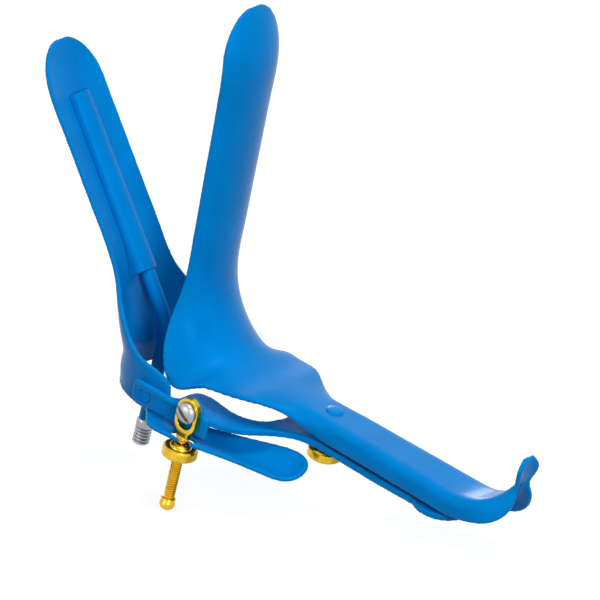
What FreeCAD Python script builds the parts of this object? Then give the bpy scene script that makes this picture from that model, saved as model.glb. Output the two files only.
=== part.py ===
import FreeCAD, Part
import math
import os

import Sketcher
from FreeCAD import Placement, Rotation, Vector

# Bivalve speculum, all sizes in millimetres and degrees.
# Working frame: the origin is where the clamp stud meets the front face of the handle,
# X runs along the handle to its hooked end, Z points towards the blade tips, and the thumb
# lever is on the near side, at negative Y. At the end the whole part is pitched and shifted
# so that it stands on the origin of its own frame.
SIZES = {
    "gauge": 1.5,
    "running_gap": 0.2,
    "pin_clearance": 0.05,
    "stand_pitch": 17.0,
    # fixed blade and its flare
    "lower_length": 110.0,
    "lower_mid_half_width": 11.2,
    "lower_tip_half_width": 12.6,
    "lower_depth": 4.6,
    "lower_lean": 2.7,
    "tip_curl": 7.0,
    "tip_roundness": 1.3,
    "flare_radius": 26.0,
    "flare_centre_x": -24.6,
    "skirt_half_width": 21.9,
    # handle
    "handle_half_width": 8.0,
    "flange_depth": 7.0,
    "handle_widening": 0.8,
    "handle_straight": 53.0,
        # yoke
    "yoke_top_z": -10.0,
    "yoke_gauge": 2.2,
    "stem_gap": 1.9,
    "stem_half_width": 6.6,
    "stem_end_x": 44.5,
    "stem_paddle_half_width": 8.5,
    "stem_slot_length": 34.0,
    "arm_inner_y": 24.2,
    "arm_end_x": -56.5,
    "arm_depth": 7.0,
    # hinge of the moving blade
    "hinge_x": -51.5,
    "hinge_z": -13.6,
    "rivet_radius": 2.0,
    "rivet_head_radius": 3.0,
    "rivet_head_height": 0.8,
    # moving blade
    "upper_half_width": 12.4,
    "upper_depth": 1.8,
    "upper_root": 50.2,
    "upper_length": 60.5,
    "upper_open": 42.0,
    "upper_edge_offset": 3.4,
    # thumb lever
    "lever_top_z": -17.9,
    "rod_slot_length": 8.4,
    # locking rod and its pivot
    "rod_x": -33.6,
    "rod_y": -27.1,
    "pivot_z": -9.6,
    "pivot_radius": 2.1,
    "pivot_head_radius": 3.5,
    "pivot_head_height": 2.0,
    "pivot_slot_width": 1.1,
    "eye_thickness": 2.2,
    "eye_half_width": 3.9,
    "eye_length": 12.0,
    "eye_slot_length": 7.8,
    "rod_neck_width": 4.8,
    "neck_end_z": -19.0,
    "thread_radius": 1.75,
    "thread_play": 0.05,
    "rod_end_z": -41.6,
    "stop_radius": 2.4,
    "stop_length": 4.2,
    # knurled nuts and their domed washers
    "nut_radius": 5.45,
    "nut_height": 4.0,
    "nut_recess_radius": 4.3,
    "nut_recess_depth": 1.2,
    "nut_bevel": 0.6,
    "washer_radius": 3.6,
    "washer_height": 2.3,
    "washer_play": 0.3,
    "lever_nut_z": -21.5,
    # clamp stud
    "stud_head_radius": 2.6,
    "stud_head_height": 0.6,
    "stud_length": 17.5,
    # smoke channel, pipe and hose port
    "channel_half_width": 4.5,
    "channel_height": 3.4,
    "channel_wall": 0.8,
    "channel_top": 43.0,
    "pipe_radius": 2.3,
    "pipe_bore": 1.6,
    "pipe_x": -66.0,
    "pipe_end_z": -36.0,
    "port_radius": 2.7,
    "port_bore": 1.4,
    "port_length": 8.6,
    "port_collar": 3.0,
    "port_rib_count": 5,
}

NEAR = -1
FAR = 1
# Side of a sheet's rows that its thickness is laid on.
INWARD = -1
OUTWARD = 1

doc = FreeCAD.newDocument("bivalve_speculum")
sheet = doc.addObject("Spreadsheet::Sheet", "Sizes")
for line, (alias, value) in enumerate(SIZES.items(), start=1):
    sheet.set(f"A{line}", alias)
    sheet.set(f"B{line}", str(value))
    sheet.setAlias(f"B{line}", alias)
doc.recompute()

nodes = []


def size(alias):
    return float(sheet.get(alias))


def keep(label, thing):
    """Gives a sub-part its name and lists it for export."""
    thing.Label = label
    nodes.append(thing)
    return thing


def feature(label, shape, placement=None):
    """A sub-part whose shape is worked out in this script."""
    thing = doc.addObject("Part::Feature", label)
    thing.Shape = shape
    thing.Placement = placement or Placement()
    return keep(label, thing)


# Formed sheet: rows of points across the piece, from its near rim to its far rim.

def section(spine, rim, wrap, power=1.0, count=9):
    """One row: a curve from the near rim over the spine point to the far rim.

    spine is (x, z) and rim is (x, y, z). wrap is how far round the curve goes, up to 90
    degrees, where the walls stand square to the face. A power under 1 squares the corners.
    The points lie evenly along the curve.
    """
    top = math.radians(wrap)
    fine = 20 * count
    half = []
    for step in range(fine + 1):
        turn = top * step / fine
        across = (math.sin(turn) / math.sin(top)) ** power
        back = (1 - max(math.cos(turn), 0.0) ** power) / (1 - max(math.cos(top), 0.0) ** power)
        half.append(Vector(spine[0] + (rim[0] - spine[0]) * back,
                           rim[1] * across,
                           spine[1] + (rim[2] - spine[1]) * back))
    even = spaced_evenly(half, count)
    mirrored = [Vector(point.x, -point.y, point.z) for point in reversed(even[1:])]
    return mirrored + even


def spaced_evenly(points, count):
    """count + 1 points at equal steps along a line of many points."""
    reach = [0.0]
    for before, after in zip(points, points[1:]):
        reach.append(reach[-1] + before.distanceToPoint(after))
    even = [points[0]]
    spot = 0
    for step in range(1, count):
        goal = reach[-1] * step / count
        while reach[spot + 1] < goal:
            spot += 1
        share = (goal - reach[spot]) / (reach[spot + 1] - reach[spot])
        even.append(points[spot] + (points[spot + 1] - points[spot]) * share)
    even.append(points[-1])
    return even


def strip(inner, outer, sag, count=4):
    """One row of a one-sided strap, from its inner to its outer edge, dished by sag."""
    row = []
    for step in range(-count, count + 1):
        share = step / count
        middle = (inner + outer) * 0.5 + (outer - inner) * (0.5 * share)
        row.append(middle + Vector(0, 0, sag * (share * share - 1)))
    return row


def grid_normals(rows):
    """The unit normal at each point of a grid of rows."""
    last_row = len(rows) - 1
    last = len(rows[0]) - 1
    normals = []
    for i, row in enumerate(rows):
        line = []
        for j in range(len(row)):
            along = rows[min(i + 1, last_row)][j] - rows[max(i - 1, 0)][j]
            across = row[min(j + 1, last)] - row[max(j - 1, 0)]
            line.append(along.cross(across).normalize())
        normals.append(line)
    return normals


def shares(lines):
    """Parameters from 0 to 1 by the mean distance between the points of several lines."""
    steps = [0.0] * (len(lines[0]) - 1)
    for line in lines:
        parts = [before.distanceToPoint(after) for before, after in zip(line, line[1:])]
        whole = sum(parts)
        for i, part in enumerate(parts):
            steps[i] += part / whole / len(lines)
    values = [0.0]
    for step in steps:
        values.append(values[-1] + step)
    values[-1] = 1.0
    return values


def through(grid, along, across):
    """A cubic surface through a grid of points, at the parameters given."""
    row_curves = []
    for row in grid:
        curve = Part.BSplineCurve()
        curve.interpolate(Points=row, Parameters=across)
        row_curves.append(curve)
    columns = []
    for column in zip(*[curve.getPoles() for curve in row_curves]):
        curve = Part.BSplineCurve()
        curve.interpolate(Points=list(column), Parameters=along)
        columns.append(curve)
    poles = [list(line) for line in zip(*[curve.getPoles() for curve in columns])]
    surface = Part.BSplineSurface()
    surface.buildFromPolesMultsKnots(
        poles, columns[0].getMultiplicities(), row_curves[0].getMultiplicities(),
        columns[0].getKnots(), row_curves[0].getKnots(), False, False, 3, 3)
    return surface


def edge_strip(first, second):
    """The narrow face between two curves that share their knots."""
    surface = Part.BSplineSurface()
    surface.buildFromPolesMultsKnots(
        [list(pair) for pair in zip(first.getPoles(), second.getPoles())],
        first.getMultiplicities(), [2, 2], first.getKnots(), [0.0, 1.0], False, False, 3, 1)
    return surface.toShape()


def formed_sheet(rows, gauge, side):
    """A solid sheet with the rows on one face and its thickness laid on the side asked for."""
    normals = grid_normals(rows)
    shifted = []
    for row, line in zip(rows, normals):
        shifted.append([point + normal * (gauge * side) for point, normal in zip(row, line)])
    along = shares([list(column) for column in zip(*rows)])
    across = shares(rows)
    first = through(rows, along, across)
    second = through(shifted, along, across)
    faces = [first.toShape(), second.toShape()]
    for end in (0.0, 1.0):
        faces.append(edge_strip(first.uIso(end), second.uIso(end)))
        faces.append(edge_strip(first.vIso(end), second.vIso(end)))
    skin = Part.makeCompound(faces)
    skin.sewShape()
    solid = Part.makeSolid(skin.Shells[0])
    if solid.Volume < 0:
        solid.reverse()
    return solid


def tip_rows(make_row, end, half_width):
    """Rows that round off the end of a blade: make_row(distance, width_share)."""
    reach = half_width * size("tip_roundness")
    rows = []
    for turn in (79, 70, 57, 42, 26, 12):
        angle = math.radians(turn)
        rows.append(make_row(end - reach * (1 - math.sin(angle)), math.cos(angle)))
    rows.append(make_row(end - reach, 1.0))
    return rows


def largest(shape):
    return max(shape.Solids, key=lambda solid: solid.Volume)


def lower_blade_shape():
    gauge = size("gauge")
    radius = size("flare_radius") + gauge
    spine_x = size("flare_centre_x") - radius
    spine_z = size("flare_radius")
    top = size("lower_length")
    tip_half = size("lower_tip_half_width")
    lean = math.tan(math.radians(size("lower_lean")))
    curl_start = top - 22.0

    def blade_row(z, share=1.0):
        grow = (z - spine_z) / (top - 16.0 - spine_z)
        half = size("lower_mid_half_width")
        half += (size("lower_tip_half_width") - half) * min(grow, 1.0)
        curl = max(z - curl_start, 0.0) / (top - curl_start)
        x = spine_x - (z - spine_z) * lean - size("tip_curl") * curl * curl
        depth = size("lower_depth") * share * share
        return section((x, z), (x - depth, half * share, z), 60)

    rows = tip_rows(blade_row, top, tip_half)
    for z in (82.0, 66.0, 50.0, 36.0, spine_z):
        rows.append(blade_row(z))

    def flare(turn, rim, wrap):
        angle = math.radians(turn)
        x = size("flare_centre_x") - radius * math.cos(angle)
        z = spine_z - radius * math.sin(angle)
        return section((x, z), rim, wrap)

    skirt = size("skirt_half_width") - gauge
    rows.append(flare(16, (-56.2, skirt * 0.60, 18.0), 62))
    rows.append(flare(33, (-55.4, skirt * 0.78, 6.6), 64))
    rows.append(flare(47, (-51.6, skirt * 0.94, -4.0), 68))
    rows.append(flare(60, (-44.2, skirt, -9.0), 68))
    rows.append(flare(72, (-36.0, skirt, -4.8), 58))
    rows.append(flare(84, (-29.4, skirt * 0.94, -3.6), 46))
    half = size("handle_half_width") - gauge
    depth = size("flange_depth")
    rows.append(section((-19.5, -gauge), (-20.5, 17.0, -2.6), 45))
    rows.append(section((-14.4, -gauge), (-15.1, 12.8, -3.2), 60))
    rows.append(section((-9.4, -gauge), (-10.0, 9.6, -4.2), 80, 0.8))
    rows.append(section((-3.0, -gauge), (-3.0, half + 0.8, 1.0 - depth), 90, 0.45))
    straight = size("handle_straight")
    for x in (6.0, 18.0, 30.0, 42.0, straight):
        widened = half + size("handle_widening") * x / straight
        rows.append(section((x, -gauge), (x, widened, -depth), 90, 0.17))
    hook = (
        (58.5, 1.1, 18, 7.0, 5.6, 0.2),
        (63.0, 3.2, 34, 6.4, 6.0, 0.25),
        (66.8, 6.4, 52, 4.6, 5.2, 0.35),
        (69.0, 9.4, 68, 2.8, 2.6, 0.6),
        (70.2, 12.0, 80, 2.6, 0.8, 1.0),
        (70.8, 14.6, 88, 4.0, 0.8, 1.0),
        (71.0, 17.2, 93, 4.2, 0.8, 1.0),
        (70.9, 19.2, 96, 2.6, 0.4, 1.0),
        (70.8, 20.2, 98, 1.4, 0.2, 1.0),
    )
    for x, z, turn, wide, deep, power in hook:
        angle = math.radians(turn)
        back = (math.sin(angle), -math.cos(angle))
        spine = (x + gauge * back[0], z + gauge * back[1])
        rim = (spine[0] + deep * back[0], wide, spine[1] + deep * back[1])
        rows.append(section(spine, rim, 84, power))
    body = formed_sheet(rows, gauge, OUTWARD)
    return body.cut(upright(size("thread_radius"), 0, 0, -gauge - 2, 2))


def upper_blade_rows():
    open_angle = math.radians(size("upper_open"))
    direction = (-math.sin(open_angle), math.cos(open_angle))
    inward = (math.cos(open_angle), math.sin(open_angle))
    foot_x = size("hinge_x") - size("upper_edge_offset") * inward[0]
    foot_z = size("hinge_z") - size("upper_edge_offset") * inward[1]
    root = size("upper_root")
    length = size("upper_length")
    half = size("upper_half_width")
    depth = size("upper_depth")

    def place(distance, offset):
        reach = root + distance
        return (foot_x + direction[0] * reach + inward[0] * offset,
                foot_z + direction[1] * reach + inward[1] * offset)

    def blade_row(distance, share=1.0):
        curl = max(distance - length + 20.0, 0.0) / 20.0
        sink = -depth + 2.3 * curl * curl
        spine = place(distance, sink)
        edge = place(distance, sink + depth * share * share)
        return section(spine, (edge[0], half * share, edge[1]), 62)

    rows = tip_rows(blade_row, length, half)
    for distance in (34.0, 20.0, 8.0, -3.0):
        rows.append(blade_row(distance))
    ear = size("arm_inner_y") - size("running_gap") - size("gauge")
    rows.append(section(place(-13.0, -3.4), (-79.0, 13.0, 11.2), 66))
    rows.append(section((-77.6, -0.5), (-73.6, 15.6, 5.2), 72))
    rows.append(section((-74.8, -6.2), (-66.0, 19.0, -0.9), 78))
    rows.append(section((-73.0, -10.2), (-58.6, ear - 1.2, -4.2), 84))
    rows.append(section((-72.2, -12.8), (-51.0, ear - 0.2, -5.0), 90, 0.85))
    rows.append(section((-71.8, -14.8), (-45.6, ear, -6.6), 90, 0.75))
    rows.append(section((-71.4, -17.0), (-44.0, ear, -11.5), 90, 0.75))
    rows.append(section((-70.8, -19.2), (-45.6, ear, -18.9), 90, 0.75))
    return rows


def lever_shape():
    """The thumb lever: a dished strap below the near arm, ending in a round paddle."""
    top = size("lever_top_z")
    ear = size("arm_inner_y") - size("running_gap") - size("gauge") * 0.7
    stations = (
        (-56.0, -ear + 1.0, top - 1.2, -ear - 0.2, top - 1.2, 0.0),
        (-51.0, -ear + 0.8, top - 1.1, -ear - 1.2, top - 1.1, 0.1),
        (-46.0, -ear + 0.6, top - 1.1, -30.2, top - 1.1, 0.4),
        (-38.0, -19.0, top - 0.9, -31.4, top - 1.1, 0.8),
        (-30.0, -15.2, top - 0.3, -29.0, top - 1.5, 1.2),
        (-22.0, -12.0, top + 0.5, -25.2, top - 2.0, 1.6),
        (-14.0, -9.4, top + 1.8, -22.4, top - 2.2, 2.0),
        (-7.0, -7.6, top + 2.8, -20.9, top - 2.1, 2.2),
        (-2.6, -7.4, top + 3.0, -20.0, top - 1.9, 2.1),
        (0.6, -8.6, top + 2.8, -18.6, top - 1.3, 1.6),
        (2.5, -10.6, top + 2.3, -16.6, top - 0.3, 0.9),
        (3.1, -11.8, top + 1.8, -15.2, top + 0.5, 0.5),
    )
    rows = []
    for x, inner_y, inner_z, outer_y, outer_z, sag in stations:
        rows.append(strip(Vector(x, inner_y, inner_z), Vector(x, outer_y, outer_z), sag))
    return formed_sheet(rows, size("gauge"), INWARD)


def upright(radius, x, y, low, high):
    return Part.makeCylinder(radius, high - low, Vector(x, y, low))


def cross_pin(radius, x, z, start, end):
    """A cylinder along Y from start to end."""
    return Part.makeCylinder(radius, end - start, Vector(x, start, z), Vector(0, 1, 0))


def obround(length, width, height, centre):
    """An upright slot cutter, long in X, with its middle at centre and its foot there."""
    straight = length - width
    x, y, z = centre
    block = Part.makeBox(straight, width, height, Vector(x - straight / 2, y - width / 2, z))
    for end in (-straight / 2, straight / 2):
        block = block.fuse(Part.makeCylinder(width / 2, height, Vector(x + end, y, z)))
    return block


def upper_blade_shape():
    """The hinged blade: its collar is dressed flat at the ears, then the lever joins it."""
    face = size("arm_inner_y") - size("running_gap")
    ear = face - size("gauge")
    x, z = size("hinge_x"), size("hinge_z")
    room = Part.makeBox(200.0, 2 * face, 200.0, Vector(-180.0, -face, -60.0))
    shell = formed_sheet(upper_blade_rows(), size("gauge"), INWARD).common(room)
    body = shell.fuse(lever_shape())
    head = size("rivet_head_radius") + size("running_gap")
    for side in (NEAR, FAR):
        start = min(side * ear, side * (ear - 4.0))
        body = body.cut(cross_pin(head, x, z, start, start + 4.0))
    hole = size("rivet_radius") + size("pin_clearance")
    body = body.cut(cross_pin(hole, x, z, -face - 1, face + 1))
    slot = obround(size("rod_slot_length"), 2 * size("thread_radius") + 1.4, 12.0,
                   (size("rod_x"), size("rod_y"), -26.0))
    return body.cut(slot)


def outline_face(points, z):
    """A flat face inside a smooth closed outline of points, mirrored across Y."""
    near = [Vector(x, -y, z) for x, y in points]
    far = [Vector(x, y, z) for x, y in reversed(points)]
    edges = []
    for run in (near, far):
        curve = Part.BSplineCurve()
        curve.interpolate(run)
        edges.append(curve.toShape())
    edges.append(Part.makeLine(near[-1], far[0]))
    edges.append(Part.makeLine(far[-1], near[0]))
    return Part.Face(Part.Wire(Part.__sortEdges__(edges)))


def yoke_shape():
    gauge = size("gauge")
    plate_gauge = size("yoke_gauge")
    top = size("yoke_top_z")
    stem_top = -size("flange_depth") - size("stem_gap")
    arm = size("arm_inner_y") + gauge
    end_x = size("stem_end_x")
    low_x = size("arm_end_x")
    profile = Part.BSplineCurve()
    profile.interpolate([Vector(low_x - 2, 0, top), Vector(-32, 0, top), Vector(-16, 0, top),
                         Vector(-10.5, 0, (top + stem_top) / 2), Vector(-5.5, 0, stem_top),
                         Vector(10, 0, stem_top), Vector(34, 0, stem_top),
                         Vector(end_x + 12, 0, stem_top)])
    upper = profile.toShape()
    lower = upper.copy()
    lower.translate(Vector(0, 0, -plate_gauge))
    strip_face = Part.makeRuledSurface(upper, lower)
    strip_face.translate(Vector(0, -arm - 2, 0))
    plate = strip_face.extrude(Vector(0, 2 * arm + 4, 0))
    stem = size("stem_half_width")
    outer = ((low_x, arm), (-50.0, arm), (-42.0, arm), (-35.0, arm), (-29.0, arm - 0.8),
             (-23.0, 22.8), (-17.5, 18.6), (-13.0, 13.0), (-8.0, 8.9), (-2.0, stem + 0.5),
             (6.0, stem), (20.0, stem), (36.0, stem))
    blank = outline_face(outer, top - 4).extrude(Vector(0, 0, 9))
    paddle = size("stem_paddle_half_width")
    tongue = Part.makeBox(end_x - 34.0, 2 * stem, 9, Vector(34.0, -stem, top - 4))
    blank = blank.fuse(tongue).fuse(upright(paddle, end_x, 0, top - 4, top + 5))
    opening = ((low_x - 1, arm - gauge), (-54.0, 24.25), (-50.5, 24.25), (-47.0, 24.25), (-43.6, 24.25),
               (-41.5, 23.4), (-41.0, 20.5), (-40.9, 17.5), (-40.2, 14.8), (-38.0, 13.3),
               (-33.0, 12.9), (-27.0, 13.4), (-22.0, 12.0), (-18.3, 9.0), (-16.6, 4.4), (-16.2, 1.4))
    hollow = outline_face(opening, top - 4).extrude(Vector(0, 0, 10))
    blank = blank.cut(hollow)
    body = plate.common(blank)
    depth = size("arm_depth")
    for side in (NEAR, FAR):
        inner = size("arm_inner_y") if side == FAR else -arm
        wall = Part.makeBox(27.0, gauge, depth, Vector(low_x + 2.5, inner, top - depth))
        wall = wall.fuse(Part.makeBox(24.5, gauge, depth - 2.5,
                                      Vector(low_x, inner, top - depth + 2.5)))
        corner = cross_pin(2.5, low_x + 2.5, top - depth + 2.5, inner, inner + gauge)
        body = body.fuse(wall).fuse(corner)
        body = body.cut(cross_pin(size("rivet_radius"), size("hinge_x"), size("hinge_z"),
                                  inner - 1, inner + gauge + 1))
    lug = cross_pin(4.0, size("rod_x"), size("pivot_z"), -arm, -arm + gauge)
    lug = lug.fuse(Part.makeBox(8.0, gauge, 4.0, Vector(size("rod_x") - 4.0, -arm, top - 4.0)))
    body = body.fuse(lug)
    body = body.cut(cross_pin(size("pivot_radius"), size("rod_x"), size("pivot_z"),
                              -arm - 1, -arm + gauge + 1))
    length = size("stem_slot_length")
    slot = obround(length, 2 * (size("thread_radius") + size("running_gap")), 12.0,
                   (length / 2 - 4.0, 0, top - 4))
    return body.cut(slot).removeSplitter()


# PartDesign pieces: every profile point is tied to the sheet.

def body_plane(body, role):
    for plane in body.Origin.OriginFeatures:
        if plane.Role == role:
            return plane
    raise ValueError(role)


def new_sketch(body, role, name):
    sketch = body.newObject("Sketcher::SketchObject", name)
    sketch.AttachmentSupport = [(body_plane(body, role), "")]
    sketch.MapMode = "FlatFace"
    return sketch


def tie(sketch, geometry, end, axis, text):
    """Ties one coordinate of a sketch point to an expression; zero means on the axis."""
    value = float(sketch.evalExpression(text))
    if abs(value) < 1e-9:
        line = -2 if axis == "DistanceX" else -1
        sketch.addConstraint(Sketcher.Constraint("PointOnObject", geometry, end, line))
        return
    index = sketch.addConstraint(Sketcher.Constraint(axis, -1, 1, geometry, end, value))
    sketch.setExpression(f"Constraints[{index}]", text)


def profile(sketch, corners):
    """A closed polygon; each corner is a pair of expressions."""
    spots = []
    for across, along in corners:
        spots.append(Vector(float(sketch.evalExpression(across)),
                            float(sketch.evalExpression(along)), 0))
    count = len(spots)
    for i in range(count):
        sketch.addGeometry(Part.LineSegment(spots[i], spots[(i + 1) % count]), False)
    for i in range(count):
        sketch.addConstraint(Sketcher.Constraint("Coincident", i, 2, (i + 1) % count, 1))
    for i, (across, along) in enumerate(corners):
        tie(sketch, i, 1, "DistanceX", across)
        tie(sketch, i, 1, "DistanceY", along)


def turned(label, corners, placement):
    """A turned piece: its half profile in the XZ plane, revolved about Z."""
    body = doc.addObject("PartDesign::Body", label)
    sketch = new_sketch(body, "XZ_Plane", label + "_profile")
    profile(sketch, corners)
    turn = body.newObject("PartDesign::Revolution", label + "_turn")
    turn.Profile = sketch
    turn.ReferenceAxis = (sketch, ["V_Axis"])
    turn.Angle = 360.0
    doc.recompute()
    body.Placement = placement
    return keep(label, body)


def along_y(x, y, z, side):
    """Stands a turned piece's axis along Y, outwards on the side asked for."""
    return Placement(Vector(x, y, z), Rotation(Vector(0, 0, 1), Vector(0, side, 0)))


def upside_down(x, y, z):
    """Turns a piece's axis to point away from the blades."""
    return Placement(Vector(x, y, z), Rotation(Vector(1, 0, 0), 180))


S = "Sizes."
GAP = S + "running_gap"


def make_rivet(label, side):
    """Hinge rivet: head inside the ear, shank through ear and arm, end flush outside."""
    reach = f"({S}gauge * 2 + {GAP} + {S}rivet_head_height)"
    corners = (("0", "0"), (S + "rivet_head_radius", "0"),
               (S + "rivet_head_radius", S + "rivet_head_height"),
               (S + "rivet_radius", S + "rivet_head_height"),
               (S + "rivet_radius", reach), ("0", reach))
    start = size("arm_inner_y") - size("running_gap") - size("gauge") - size("rivet_head_height")
    return turned(label, corners, along_y(size("hinge_x"), side * start, size("hinge_z"), side))


def make_nut(label, placement):
    """Knurled nut: a turned ring with a recess round its hub on the working side."""
    bore = f"({S}thread_radius + {S}thread_play)"
    corners = ((bore, "0"), (f"{S}nut_radius - {S}nut_bevel", "0"),
               (S + "nut_radius", S + "nut_bevel"),
               (S + "nut_radius", f"{S}nut_height - {S}nut_bevel"),
               (f"{S}nut_radius - {S}nut_bevel", S + "nut_height"),
               (S + "nut_recess_radius", S + "nut_height"),
               (S + "nut_recess_radius", f"{S}nut_height - {S}nut_recess_depth"),
               (bore, f"{S}nut_height - {S}nut_recess_depth"))
    return turned(label, corners, placement)


def make_washer(label, placement):
    """Domed washer that sits in the nut's recess."""
    bore = f"({S}thread_radius + {S}running_gap)"
    corners = ((bore, "0"), (S + "washer_radius", "0"),
               (S + "washer_radius", f"{S}washer_height * 0.45"),
               (f"{S}washer_radius * 0.86", f"{S}washer_height * 0.8"),
               (f"{S}washer_radius * 0.62", S + "washer_height"), (bore, S + "washer_height"))
    return turned(label, corners, placement)


def make_port():
    """Grey hose port: plain collar, then shallow ribs, bored through."""
    corners = [(S + "port_bore", "0"), (S + "port_radius", "0")]
    ribs = int(size("port_rib_count"))
    collar = S + "port_collar"
    pitch = f"({S}port_length - {S}port_collar) / {ribs}"
    for rib in range(ribs):
        corners.append((S + "port_radius", f"{collar} + {pitch} * {rib}"))
        corners.append((f"{S}port_radius - 0.35", f"{collar} + {pitch} * {rib + 0.3}"))
        corners.append((f"{S}port_radius - 0.35", f"{collar} + {pitch} * {rib + 0.5}"))
        corners.append((S + "port_radius", f"{collar} + {pitch} * {rib + 0.7}"))
    corners.append((f"{S}port_radius - 0.5", S + "port_length"))
    corners.append((S + "port_bore", S + "port_length"))
    return turned("smoke_port", corners, upside_down(size("pipe_x"), 0, size("pipe_end_z")))


def rod_shape():
    """Locking rod: slotted flat eye, flat neck and round threaded shank."""
    x, y, z = size("rod_x"), size("rod_y"), size("pivot_z")
    half = size("eye_half_width")
    thick = size("eye_thickness")
    front = y - thick / 2
    slot_half = size("pivot_radius") + size("pin_clearance")
    drop = size("eye_slot_length") - 2 * slot_half
    long = size("eye_length") - 2 * half
    eye = cross_pin(half, x, z + 0.6, front, front + thick)
    eye = eye.fuse(cross_pin(half, x, z - long + 0.6, front, front + thick))
    eye = eye.fuse(Part.makeBox(2 * half, thick, long, Vector(x - half, front, z - long + 0.6)))
    neck = size("rod_neck_width")
    eye = eye.fuse(Part.makeBox(neck, thick, 6.2, Vector(x - neck / 2, front, size("neck_end_z"))))
    hole = cross_pin(slot_half, x, z, front - 1, front + thick + 1)
    hole = hole.fuse(cross_pin(slot_half, x, z - drop, front - 1, front + thick + 1))
    hole = hole.fuse(Part.makeBox(2 * slot_half, thick + 2, drop,
                                  Vector(x - slot_half, front - 1, z - drop)))
    end = size("rod_end_z")
    shank = upright(size("thread_radius"), x, y, end, size("neck_end_z") + 0.6)
    return eye.cut(hole).fuse(shank).removeSplitter()


def channel_shape():
    """Half-round smoke channel on the inner face of the moving blade."""
    open_angle = math.radians(size("upper_open"))
    direction = Vector(-math.sin(open_angle), 0, math.cos(open_angle))
    inward = Vector(math.cos(open_angle), 0, math.sin(open_angle))
    foot = Vector(size("hinge_x"), 0, size("hinge_z")) - inward * size("upper_edge_offset")
    half = size("channel_half_width")
    tall = size("channel_height")
    seat = -size("upper_depth")

    def cap(reach, wide, high, lift):
        base = foot + direction * (size("upper_root") + reach) + inward * (seat + lift)
        side = Vector(0, wide, 0)
        shoulder = inward * (high * 0.55) + Vector(0, wide * 0.86, 0)
        mirror = inward * (high * 0.55) - Vector(0, wide * 0.86, 0)
        crown = Part.Arc(base + shoulder, base + inward * high, base + mirror).toShape()
        edges = [Part.makeLine(base - side, base + side), Part.makeLine(base + side, base + shoulder),
                 crown, Part.makeLine(base + mirror, base - side)]
        return Part.Wire(edges)

    top = size("channel_top")
    outside = Part.makeLoft([cap(top, half, tall, 0.05), cap(-15.0, half + 0.8, tall + 2.0, -1.6)],
                            True, True)
    wall = size("channel_wall")
    inside = Part.makeLoft([cap(top + 1, half - wall, tall - 2 * wall, 0.05 + wall),
                            cap(-16.0, half + 0.8 - wall, tall + 2.0 - 2 * wall, -1.6 + wall)], True, True)
    return outside.cut(inside)


def pipe_shape():
    """Round pipe that leads from the channel to the hose port."""
    open_angle = math.radians(size("upper_open"))
    direction = Vector(-math.sin(open_angle), 0, math.cos(open_angle))
    inward = Vector(math.cos(open_angle), 0, math.sin(open_angle))
    foot = Vector(size("hinge_x"), 0, size("hinge_z")) - inward * size("upper_edge_offset")
    radius = size("pipe_radius")
    lift = -size("upper_depth") + 1.1
    start = foot + direction * (size("upper_root") - 15.2) + inward * lift
    port = Vector(size("pipe_x"), 0, size("pipe_end_z"))
    bend = Vector(port.x, 0, start.z + (-direction.z) * (port.x - start.x) / (-direction.x))
    back = 7.0
    first = bend + direction * back
    second = bend - Vector(0, 0, back)
    half_turn = open_angle / 2
    sag = back * math.cos(half_turn) * math.tan(half_turn / 2)
    chord_middle = (first + second) * 0.5
    middle = chord_middle + (bend - chord_middle).normalize() * sag
    path = Part.Wire([Part.makeLine(start, first), Part.Arc(first, middle, second).toShape(),
                      Part.makeLine(second, port)])
    solids = []
    for r in (radius, size("pipe_bore")):
        ring = Part.Wire([Part.makeCircle(r, start, direction)])
        solids.append(path.makePipeShell([ring], True, True))
    return solids[0].cut(solids[1])


def make_stop():
    """Round stop on the rod's end, so that the nut can't run off."""
    radius = S + "stop_radius"
    long = S + "stop_length"
    blind = f"({S}stop_length * 0.5)"
    corners = (("0", "0"), (radius + " * 0.62", "0"), (radius, long + " * 0.22"),
               (radius, long + " * 0.72"), (radius + " * 0.84", long), (S + "thread_radius", long),
               (S + "thread_radius", blind), ("0", blind))
    foot = size("rod_end_z") - size("stop_length") * 0.5
    return turned("rod_stop", corners, Placement(Vector(size("rod_x"), size("rod_y"), foot), Rotation()))


def make_pivot_screw():
    """Slotted cheese-head screw that the rod's eye hangs on."""
    grip = f"({S}gauge + {GAP} * 2 + {S}eye_thickness)"
    head = f"({grip} + {S}pivot_head_height)"
    corners = (("0", "0"), (S + "pivot_radius", "0"), (S + "pivot_radius", grip),
               (S + "pivot_head_radius", grip), (S + "pivot_head_radius", f"{head} - 0.5"),
               (S + "pivot_head_radius * 0.8", head), ("0", head))
    start = size("arm_inner_y")
    screw = turned("pivot_screw", corners, along_y(size("rod_x"), -start, size("pivot_z"), NEAR))
    slot = new_sketch(screw, "XZ_Plane", "pivot_screw_slot")
    half = f"{S}pivot_slot_width / 2"
    profile(slot, ((half, f"{head} - 1.0"), (half, f"{head} + 1.0"), (f"-{half}", f"{head} + 1.0"),
                   (f"-{half}", f"{head} - 1.0")))
    before = screw.Shape.Volume
    cut = screw.newObject("PartDesign::Pocket", "pivot_screw_slot_cut")
    cut.Profile = slot
    cut.Type = "ThroughAll"
    cut.Midplane = True
    doc.recompute()
    assert screw.Shape.Volume < before - 1.0
    return screw


def make_stud():
    """Clamp stud: coated button head on the handle's face, threaded shank behind it."""
    head = S + "stud_head_radius"
    rise = S + "stud_head_height"
    long = S + "stud_length"
    corners = (("0", "0"), (S + "thread_radius", "0"), (S + "thread_radius", long),
               (head, long), (head + " * 0.7", f"{long} + {rise}"), ("0", f"{long} + {rise}"))
    return turned("clamp_stud", corners, Placement(Vector(0, 0, -size("stud_length")), Rotation()))


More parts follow.
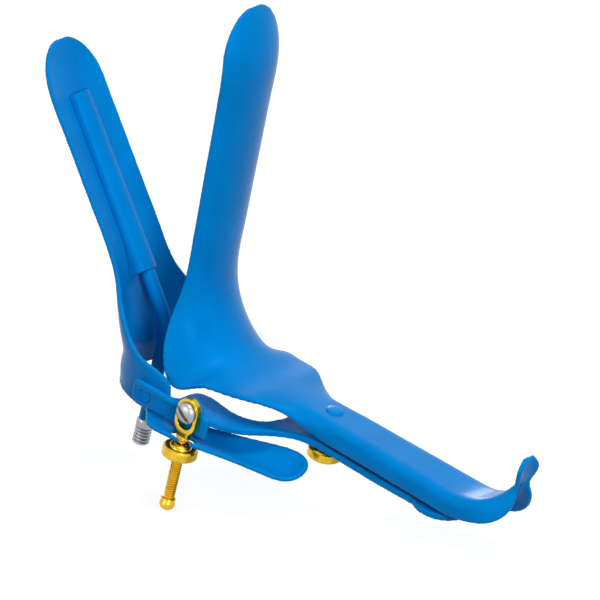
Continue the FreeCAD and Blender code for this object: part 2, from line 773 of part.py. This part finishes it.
def make_clamps():
    """The two identical nuts with their domed washers."""
    rise = size("washer_height") - size("nut_recess_depth")
    stem_back = -size("flange_depth") - size("stem_gap") - size("yoke_gauge")
    clamp_z = stem_back - size("washer_play") - rise
    for name, x, y, top in (("lever_nut", size("rod_x"), size("rod_y"), size("lever_nut_z")),
                            ("clamp_nut", 0.0, 0.0, clamp_z)):
        foot = Placement(Vector(x, y, top - size("nut_height")), Rotation())
        make_nut(name, foot)
        seat = Placement(Vector(x, y, top - size("nut_recess_depth") + size("pin_clearance")),
                         Rotation())
        make_washer(name + "_washer", seat)


def standing():
    """The placement that stands the finished part on the origin of its own frame."""
    pitch = Placement(Vector(), Rotation(Vector(0, 1, 0), size("stand_pitch")))
    whole = FreeCAD.BoundBox()
    for thing in nodes:
        shape = thing.Shape.copy()
        shape.Placement = pitch.multiply(thing.Placement)
        whole.add(shape.optimalBoundingBox(False, False))
    centre = whole.Center
    shift = Placement(Vector(-centre.x, -centre.y, -whole.ZMin), Rotation())
    return shift.multiply(pitch)


def main():
    feature("lower_blade", lower_blade_shape())
    upper_blade = upper_blade_shape()
    feature("upper_blade", upper_blade)
    feature("yoke", yoke_shape())
    feature("lever_rod", rod_shape())
    feature("smoke_channel", largest(channel_shape().cut(upper_blade)))
    feature("smoke_pipe", pipe_shape())
    make_rivet("hinge_rivet_near", NEAR)
    make_rivet("hinge_rivet_far", FAR)
    make_port()
    make_stop()
    make_pivot_screw()
    make_stud()
    make_clamps()
    doc.recompute()
    stand = standing()
    for thing in nodes:
        thing.Placement = stand.multiply(thing.Placement)
    doc.recompute()
    for item in doc.Objects:
        if "Invalid" in item.State or "Error" in item.State:
            raise RuntimeError(f"{item.Name} did not build")
    os.makedirs("parts", exist_ok=True)
    for thing in nodes:
        shape = thing.Shape
        if shape.isNull() or not shape.isValid():
            raise RuntimeError(f"{thing.Label} has no valid shape")
        shape.exportStep(f"parts/{thing.Label}.step")


main()
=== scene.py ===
import math

import bmesh
import bpy
from mathutils import Matrix, Vector


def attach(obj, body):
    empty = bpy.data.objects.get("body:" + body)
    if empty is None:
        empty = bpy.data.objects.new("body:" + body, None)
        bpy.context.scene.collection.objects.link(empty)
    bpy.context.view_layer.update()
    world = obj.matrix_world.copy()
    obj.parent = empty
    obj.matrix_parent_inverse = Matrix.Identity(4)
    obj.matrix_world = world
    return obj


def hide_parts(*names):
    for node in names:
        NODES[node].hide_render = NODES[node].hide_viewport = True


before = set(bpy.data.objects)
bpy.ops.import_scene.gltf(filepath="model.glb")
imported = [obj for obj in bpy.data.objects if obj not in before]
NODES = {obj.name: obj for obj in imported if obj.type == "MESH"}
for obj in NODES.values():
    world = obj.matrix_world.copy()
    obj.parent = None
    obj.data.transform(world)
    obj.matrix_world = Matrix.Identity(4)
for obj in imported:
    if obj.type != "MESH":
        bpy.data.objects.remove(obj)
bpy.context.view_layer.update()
MM = 0.001

# Heights and distances in the handle's frame, in millimetres.
ROD_X = -33.6
ROD_Y = -27.1
ARM_INNER_Y = -24.2
ARM_OUTER_Y = -25.7
ARM_RIB_X = -55.6
ARM_RIB_Z = -10.7
PIVOT_Z = -9.6
ROD_FOOT = -43.7
ROD_THREAD_FOOT = -40.5
STUD_THREAD_FOOT = -17.2
LEVER_NUT_FOOT = -25.5
CLAMP_NUT_FOOT = -16.5
WASHER_RISE = 2.85
PIPE_X = -66.0
PIPE_END_Z = -36.0


def shifted(place, x, y, z):
    """A place moved by millimetres along its own axes."""
    return place @ Matrix.Translation((x * MM, y * MM, z * MM))


def about(axis, degrees):
    return Matrix.Rotation(math.radians(degrees), 4, axis)


# The handle frame: its origin is where the clamp stud meets the front of the handle, X runs
# along the handle and Z towards the blade tips. The whole instrument leans 17 degrees.
HANDLE = Matrix.Translation((0.0143738, 0.00339421, 0.0324019)) @ about("Y", 17)
ROD = shifted(HANDLE, ROD_X, ROD_Y, 0)
SCREW = shifted(HANDLE, ROD_X, ARM_INNER_Y, PIVOT_Z) @ about("X", 90)
PORT = shifted(HANDLE, PIPE_X, 0, PIPE_END_Z) @ about("X", 180)

# The long lens stands 8 m away, 39 degrees round from the front and 17 above.
CAMERA_RIGHT = Vector((0.7844, 0.6190, -0.0234)).normalized()
CAMERA_BACK = Vector((0.5968, -0.7460, 0.2965)).normalized()
CAMERA_AIM = HANDLE @ Vector((-0.02274, 0.00174, 0.0269))
CAMERA_DISTANCE = 8.0
VIEW_WIDTH = 0.1818
SENSOR_WIDTH = 36.0

# Round softboxes: name, place in metres, watts and width in metres.
LAMPS = (("overhead_softbox", (0.40, -0.05, 1.20), 7.5, 0.5),
         ("near_softbox", (-0.3, -1.3, 0.45), 4.0, 0.6),
         ("right_softbox", (1.2, -0.8, 0.50), 13.0, 0.5),
         ("back_softbox", (-1.0, 1.1, 0.70), 7.0, 0.6))
LAMP_AIM = Vector((0.0, 0.0, 0.06))


def linear(code):
    """A colour written as sRGB hex, as the linear values that Blender works in."""
    values = []
    for start in (1, 3, 5):
        part = int(code[start:start + 2], 16) / 255
        values.append(part / 12.92 if part <= 0.04045 else ((part + 0.055) / 1.055) ** 2.4)
    return (*values, 1.0)


# Materials

def node(tree, kind, place=None, links=(), **settings):
    """Adds one shader node with its settings, its constants and its links from other sockets."""
    made = tree.nodes.new(kind)
    for name, value in settings.items():
        setattr(made, name, value)
    for socket, value in (place or {}).items():
        made.inputs[socket].default_value = value
    for socket, source in links:
        tree.links.new(source, made.inputs[socket])
    return made


def new_material(name):
    """A new material, its node tree and its Principled shader."""
    material = bpy.data.materials.new(name)
    material.use_nodes = True
    return material, material.node_tree, material.node_tree.nodes["Principled BSDF"]


def noise(tree, scale, detail):
    """A cloudy pattern on object coordinates: its cells are 1 / scale metres across."""
    where = node(tree, "ShaderNodeTexCoord").outputs["Object"]
    made = node(tree, "ShaderNodeTexNoise", {"Scale": scale, "Detail": detail}, (("Vector", where),))
    return made.outputs["Fac"]


def tones(tree, source, low, high, start, end):
    """Two close tones of one colour, spread by a pattern."""
    ramp = node(tree, "ShaderNodeValToRGB", links=(("Fac", source),))
    for element, code, spot in zip(ramp.color_ramp.elements, (low, high), (start, end)):
        element.color = linear(code)
        element.position = spot
    return ramp.outputs["Color"]


def between(tree, source, low, high):
    """A pattern's 0 to 1 as a value from low to high."""
    return node(tree, "ShaderNodeMapRange", {"To Min": low, "To Max": high}, (("Value", source),)).outputs[0]


def blue_coating():
    """Insulating polymer coat, dipped on sheet steel: even strong blue under a soft gloss."""
    material, tree, shader = new_material("blue_insulating_polymer_dip_coat")
    # The dipped coat varies in tone over about 12 mm.
    cloud = noise(tree, 80.0, 2.0)
    tree.links.new(tones(tree, cloud, "#0074BC", "#007CC8", 0.3, 0.7), shader.inputs["Base Color"])
    # Its faint orange peel is about 1 mm across.
    peel = noise(tree, 900.0, 2.0)
    bump = node(tree, "ShaderNodeBump", {"Strength": 0.06, "Distance": 0.0001}, (("Height", peel),))
    tree.links.new(bump.outputs["Normal"], shader.inputs["Normal"])
    tree.links.new(between(tree, cloud, 0.24, 0.34), shader.inputs["Roughness"])
    shader.inputs["Specular IOR Level"].default_value = 0.12
    shader.inputs["Specular Tint"].default_value = linear("#1E96FF")
    return material


def turned_metal(name, low, high, scale, smooth, rough):
    """Turned metal in two close tones, with a gloss that varies with them."""
    material, tree, shader = new_material(name)
    cloud = noise(tree, scale, 3.0)
    tree.links.new(tones(tree, cloud, low, high, 0.35, 0.65), shader.inputs["Base Color"])
    tree.links.new(between(tree, cloud, smooth, rough), shader.inputs["Roughness"])
    shader.inputs["Metallic"].default_value = 1.0
    return material


# Studio

def add_camera():
    data = bpy.data.cameras.new("long_lens")
    camera = bpy.data.objects.new("long_lens", data)
    bpy.context.scene.collection.objects.link(camera)
    up = CAMERA_BACK.cross(CAMERA_RIGHT).normalized()
    right = up.cross(CAMERA_BACK)
    turn = Matrix((right, up, CAMERA_BACK)).transposed().to_4x4()
    camera.matrix_world = Matrix.Translation(CAMERA_AIM + CAMERA_BACK * CAMERA_DISTANCE) @ turn
    data.sensor_width = SENSOR_WIDTH
    data.lens = SENSOR_WIDTH * CAMERA_DISTANCE / VIEW_WIDTH
    data.clip_end = 30.0
    bpy.context.scene.camera = camera


def add_lamp(name, spot, power, width):
    data = bpy.data.lights.new(name, "AREA")
    data.energy = power
    data.shape = "DISK"
    data.size = width
    lamp = bpy.data.objects.new(name, data)
    bpy.context.scene.collection.objects.link(lamp)
    lamp.location = spot
    lamp.rotation_euler = (LAMP_AIM - Vector(spot)).to_track_quat("-Z", "Y").to_euler()


def seen_or_mirrored(tree):
    """1 for what the camera sees, straight, mirrored or through glass, and 0 for lighting."""
    rays = node(tree, "ShaderNodeLightPath")
    first = node(tree, "ShaderNodeMath", operation="MAXIMUM",
                 links=((0, rays.outputs["Is Camera Ray"]), (1, rays.outputs["Is Transmission Ray"])))
    both = node(tree, "ShaderNodeMath", operation="MAXIMUM",
                links=((0, first.outputs[0]), (1, rays.outputs["Is Glossy Ray"])))
    return both.outputs[0]


def add_world():
    """White surround as the camera sees it, and a dimmer one for the light that it gives."""
    bpy.context.scene.view_settings.view_transform = "Standard"
    world = bpy.data.worlds.new("studio")
    bpy.context.scene.world = world
    world.use_nodes = True
    tree = world.node_tree
    background = tree.nodes["Background"]
    background.inputs["Color"].default_value = (1.0, 1.0, 1.0, 1.0)
    tree.links.new(between(tree, seen_or_mirrored(tree), 0.30, 1.0), background.inputs["Strength"])


def add_floor():
    """Pale sweep under the instrument: it glows to white for the camera and keeps the shadow."""
    bpy.ops.mesh.primitive_plane_add(size=6.0, location=(0, 0, -0.5 * MM))
    floor = bpy.context.object
    floor.name = "studio_floor"
    material, tree, shader = new_material("matt_white_studio_sweep")
    shader.inputs["Base Color"].default_value = linear("#84868A")
    shader.inputs["Roughness"].default_value = 1.0
    shader.inputs["Specular IOR Level"].default_value = 0.0
    shader.inputs["Emission Color"].default_value = (1.0, 1.0, 1.0, 1.0)
    glow = between(tree, seen_or_mirrored(tree), 0.0, 0.86)
    tree.links.new(glow, shader.inputs["Emission Strength"])
    floor.data.materials.append(material)
    floor.select_set(False)


# Ways of working a mesh

def deselect_objects():
    for other in bpy.context.selected_objects:
        other.select_set(False)


def open_mesh(piece):
    """Opens one piece in edit mode with everything in it selected."""
    deselect_objects()
    bpy.context.view_layer.objects.active = piece
    piece.select_set(True)
    bpy.ops.object.mode_set(mode="EDIT")
    bpy.ops.mesh.select_all(action="SELECT")


def close_mesh():
    bpy.ops.object.mode_set(mode="OBJECT")


def select_points(piece, wanted):
    """Selects the points of the open piece whose place passes the test."""
    work = bmesh.from_edit_mesh(piece.data)
    for vert in work.verts:
        vert.select_set(wanted(vert.co))
    work.select_flush_mode()
    bmesh.update_edit_mesh(piece.data)


def scale_selection(along_x, along_y):
    """Scales what is selected about the Z axis."""
    bpy.ops.transform.resize(value=(along_x, along_y, 1), center_override=(0, 0, 0))


def apply_modifier(piece, kind, **settings):
    """Adds one modifier to a piece and applies it."""
    modifier = piece.modifiers.new(kind.lower(), kind)
    for name, value in settings.items():
        setattr(modifier, name, value)
    bpy.context.view_layer.objects.active = piece
    bpy.ops.object.modifier_apply(modifier=modifier.name)


def cut_away(piece, cutter):
    """Cuts the shape of one object out of a piece, and removes that object."""
    apply_modifier(piece, "BOOLEAN", object=cutter, operation="DIFFERENCE", solver="EXACT")
    bpy.data.objects.remove(cutter)


def turned(name, stations, vertices=64, looped=False):
    """A turned piece about Z: a ring drawn through (radius, height) stations in millimetres."""
    wide, high = stations[0]
    bpy.ops.mesh.primitive_circle_add(vertices=vertices, radius=wide * MM)
    piece = bpy.context.object
    piece.name = name
    open_mesh(piece)
    bpy.ops.transform.translate(value=(0, 0, high * MM))
    for next_wide, next_high in stations[1:]:
        rise = (0, 0, (next_high - high) * MM)
        bpy.ops.mesh.extrude_region_move(TRANSFORM_OT_translate={"value": rise})
        scale_selection(next_wide / wide, next_wide / wide)
        wide, high = next_wide, next_high
    bpy.ops.mesh.select_all(action="SELECT")
    bpy.ops.mesh.remove_doubles(threshold=0.001 * MM)
    if not looped:
        bpy.ops.mesh.select_all(action="DESELECT")
        bpy.ops.mesh.select_non_manifold()
        bpy.ops.mesh.edge_face_add()
        bpy.ops.mesh.select_all(action="SELECT")
    bpy.ops.mesh.normals_make_consistent(inside=False)
    close_mesh()
    return piece


def merged_copy(name, cad_name):
    """A copy of one CAD piece as a closed mesh of its own."""
    source = NODES[cad_name]
    copy = source.copy()
    copy.data = source.data.copy()
    copy.name = name
    bpy.context.scene.collection.objects.link(copy)
    copy.parent = None
    copy.matrix_world = Matrix()
    open_mesh(copy)
    bpy.ops.mesh.remove_doubles(threshold=0.002 * MM)
    close_mesh()
    return copy


def hang(piece, place, body, material, angle):
    """Puts a piece in its place, smooths its shading up to an angle and hangs it on its body."""
    piece.data.transform(place)
    deselect_objects()
    bpy.context.view_layer.objects.active = piece
    piece.select_set(True)
    bpy.ops.object.shade_smooth_by_angle(angle=math.radians(angle))
    piece.select_set(False)
    piece.data.materials.clear()
    piece.data.materials.append(material)
    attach(piece, body)


# Pieces of the instrument

def coated_skin(name, cad_name, body, grain):
    """The dipped coat over one formed sheet: its edges are rounded as a thick coat rounds them."""
    skin = merged_copy(name, cad_name)
    apply_modifier(skin, "REMESH", mode="VOXEL", voxel_size=grain * MM, use_smooth_shade=True)
    apply_modifier(skin, "SMOOTH", factor=0.5, iterations=5)
    hang(skin, Matrix(), body, BLUE, 180)
    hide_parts(cad_name)


def locking_rod():
    """Locking rod: thin open eye, waisted neck and the slim root that the thread stands on."""
    rod = merged_copy("tumbled_lever_rod", "lever_rod")
    rod.data.transform(ROD.inverted())
    for height in (-9.3, -12.6):
        bpy.ops.mesh.primitive_cylinder_add(vertices=48, radius=2.85 * MM, depth=8 * MM)
        cutter = bpy.context.object
        cutter.data.transform(shifted(Matrix(), 0, 0, height) @ about("X", 90))
        cut_away(rod, cutter)
    apply_modifier(rod, "REMESH", mode="VOXEL", voxel_size=0.13 * MM, use_smooth_shade=True)
    neck_top = -16.6 * MM
    neck_foot = -19.3 * MM
    open_mesh(rod)
    select_points(rod, lambda spot: spot.z < neck_foot)
    scale_selection(0.75, 0.75)
    select_points(rod, lambda spot: neck_foot < spot.z < neck_top)
    scale_selection(0.85, 0.9)
    close_mesh()
    apply_modifier(rod, "SMOOTH", factor=0.5, iterations=6)
    hang(rod, ROD, "locking_rod", GOLD, 180)
    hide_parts("lever_rod")


def knurled_nut(name, cad_name, place, body):
    """Round nut with a diamond knurl: every second point of its band is pushed out."""
    rows = 6
    columns = 56
    band = 5.2
    band_foot, band_head = 1.0, 3.3
    stations = [(1.8, 0.0), (3.0, 0.0), (4.5, 0.25), (5.1, 0.7)]
    stations += [(band, band_foot + (band_head - band_foot) * row / rows) for row in range(rows + 1)]
    stations += [(5.15, 3.55), (4.9, 3.9), (4.6, 4.0), (4.35, 3.9), (4.2, 3.5), (4.1, 2.9),
                 (1.8, 2.8), (1.8, 0.0)]
    piece = turned(name, stations, columns, looped=True)

    def pushed_out(spot):
        row = round((spot.z / MM - band_foot) / (band_head - band_foot) * rows)
        if math.hypot(spot.x, spot.y) < (band - 0.01) * MM or not 0 <= row <= rows:
            return False
        column = round(math.atan2(spot.y, spot.x) / math.tau * columns)
        return (column + row) % 2 == 0

    open_mesh(piece)
    select_points(piece, pushed_out)
    scale_selection(1.07, 1.07)
    close_mesh()
    hang(piece, place, body, GOLD, 20)
    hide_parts(cad_name)


def screw_thread(name, place, length, body):
    """Screw thread of a 3.5 mm shank, with the pitch of 0.8 mm that its nut's joint turns by."""
    pitch = 0.8
    root, crest = 1.25, 1.76
    bpy.ops.mesh.primitive_plane_add(size=1.0)
    piece = bpy.context.object
    piece.name = name
    work = bmesh.new()
    outline = ((root, 0.0), (crest, 0.33), (crest, 0.43), (root, 0.76), (root, pitch))
    line = [work.verts.new((wide * MM, 0, high * MM)) for wide, high in outline]
    for before, after in zip(line, line[1:]):
        work.edges.new((before, after))
    work.to_mesh(piece.data)
    work.free()
    apply_modifier(piece, "SCREW", axis="Z", screw_offset=pitch * MM, steps=24, render_steps=24,
                   iterations=int(length / pitch), use_merge_vertices=True, merge_threshold=0.01 * MM)
    open_mesh(piece)
    bpy.ops.mesh.remove_doubles(threshold=0.005 * MM)
    bpy.ops.mesh.normals_make_consistent(inside=False)
    close_mesh()
    hang(piece, place, body, GOLD, 30)


def slotted_screw():
    """Mushroom-headed pivot screw with a wide driver slot."""
    seat = 4.1
    piece = turned("pivot_screw_head", ((2.1, 0.0), (2.1, seat), (3.4, seat), (3.5, seat + 0.35),
                                        (3.4, seat + 0.8), (3.0, seat + 1.35), (2.3, seat + 1.8),
                                        (1.3, seat + 2.05), (0.3, seat + 2.12)))
    bpy.ops.mesh.primitive_cube_add(size=1.0, location=(0, 0, (seat + 2.3) * MM))
    cutter = bpy.context.object
    cutter.scale = (9.0 * MM, 1.2 * MM, 3.0 * MM)
    cut_away(piece, cutter)
    hang(piece, SCREW @ about("Z", -35), "yoke_frame", STEEL, 35)
    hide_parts("pivot_screw")


def domed_washer(name, cad_name, place, body):
    """Bright domed washer that sits in the recess of a nut."""
    bore = 1.9
    piece = turned(name, ((bore, 0.0), (3.5, 0.0), (3.62, 0.15), (3.62, 0.95), (3.5, 1.3),
                          (3.2, 1.7), (2.75, 2.02), (2.25, 2.22), (2.05, 2.25), (bore, 2.15),
                          (bore, 0.0)), looped=True)
    hang(piece, place, body, GOLD, 50)
    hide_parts(cad_name)


def ball_stop():
    """Ball-like end of the locking rod, with a lip where the thread goes in."""
    piece = turned("ball_rod_stop", ((0.3, 0.0), (1.0, 0.1), (1.6, 0.4), (2.1, 0.9), (2.38, 1.5),
                                     (2.45, 2.1), (2.3, 2.75), (1.98, 3.2), (1.92, 3.35),
                                     (2.25, 3.5), (2.3, 3.75), (2.2, 4.05), (1.9, 4.2)))
    hang(piece, shifted(ROD, 0, 0, ROD_FOOT), "locking_rod", GOLD, 50)
    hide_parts("rod_stop")


def ribbed_port():
    """Grey hose port: plain collar, then five rounded ribs that hold the hose."""
    bore, collar, length = 1.4, 2.7, 8.6
    ribs, pitch, first = 5, 1.1, 3.05
    stations = [(bore, 0.0), (2.5, 0.0), (collar, 0.2), (collar, 2.75), (2.5, 2.95)]
    for rib in range(ribs):
        low = first + pitch * rib
        stations += [(2.1, low), (2.25, low + 0.12), (2.62, low + 0.3), (collar, low + 0.5),
                     (2.62, low + 0.7), (2.25, low + 0.9)]
    stations += [(2.2, length), (bore, length), (bore, 0.0)]
    piece = turned("ribbed_smoke_port", stations, looped=True)
    hang(piece, PORT, "moving_blade", STEEL, 50)
    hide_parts("smoke_port")


def arm_rib():
    """Raised round rib along the upper edge of the near arm, with rounded ends."""
    long = 17.5
    piece = turned("yoke_arm_rib", ((0.2, 0.0), (0.7, 0.3), (1.1, 1.1), (1.1, long - 1.1),
                                    (0.7, long - 0.3), (0.2, long)), 32)
    flatter = Matrix.Diagonal((1.0, 0.55, 1.0, 1.0))
    place = shifted(HANDLE, ARM_RIB_X, ARM_OUTER_Y, ARM_RIB_Z) @ about("Y", 90) @ flatter
    hang(piece, place, "yoke_frame", BLUE, 60)


def stud_button():
    """Button head of the clamp stud: a shallow dome under the same blue coat."""
    wide, high = 2.75, 0.85
    piece = turned("clamp_stud_button", ((wide, 0.0), (wide, high * 0.35), (wide * 0.93, high * 0.65),
                                         (wide * 0.75, high * 0.88), (wide * 0.45, high),
                                         (wide * 0.1, high * 1.03)))
    hang(piece, HANDLE, "handle_frame", BLUE, 60)


def give_material(material, names):
    """Gives a material to CAD pieces that stay as they are."""
    for name in names:
        mesh = NODES[name].data
        mesh.materials.clear()
        mesh.materials.append(material)


deselect_objects()
add_camera()
add_world()
for lamp in LAMPS:
    add_lamp(*lamp)
add_floor()
BLUE = blue_coating()
# The tones vary over about 2.5 mm on the gold and 2 mm on the grey.
GOLD = turned_metal("gold_coloured_nitride_on_turned_steel", "#D8AE2C", "#E6BF40", 400.0, 0.22, 0.28)
STEEL = turned_metal("satin_turned_stainless_steel", "#9A9C9E", "#B0B2B4", 500.0, 0.30, 0.42)
give_material(BLUE, ("hinge_rivet_near", "hinge_rivet_far", "smoke_pipe"))
give_material(GOLD, ("clamp_stud",))

coated_skin("coated_lower_blade", "lower_blade", "handle_frame", 0.5)
coated_skin("coated_upper_blade", "upper_blade", "moving_blade", 0.45)
coated_skin("coated_yoke", "yoke", "yoke_frame", 0.4)
coated_skin("coated_smoke_channel", "smoke_channel", "moving_blade", 0.25)
locking_rod()
LEVER_NUT = shifted(ROD, 0, 0, LEVER_NUT_FOOT)
CLAMP_NUT = shifted(HANDLE, 0, 0, CLAMP_NUT_FOOT)
knurled_nut("knurled_lever_nut", "lever_nut", LEVER_NUT, "lever_knob")
knurled_nut("knurled_clamp_nut", "clamp_nut", CLAMP_NUT, "clamp_knob")
screw_thread("lever_rod_thread", shifted(ROD, 0, 0, ROD_THREAD_FOOT), 19.0, "locking_rod")
screw_thread("clamp_stud_thread", shifted(HANDLE, 0, 0, STUD_THREAD_FOOT), 4.0, "handle_frame")
slotted_screw()
domed_washer("domed_lever_washer", "lever_nut_washer", shifted(LEVER_NUT, 0, 0, WASHER_RISE),
             "lever_seat")
domed_washer("domed_clamp_washer", "clamp_nut_washer", shifted(CLAMP_NUT, 0, 0, WASHER_RISE),
             "clamp_seat")
ball_stop()
ribbed_port()
arm_rib()
stud_button()
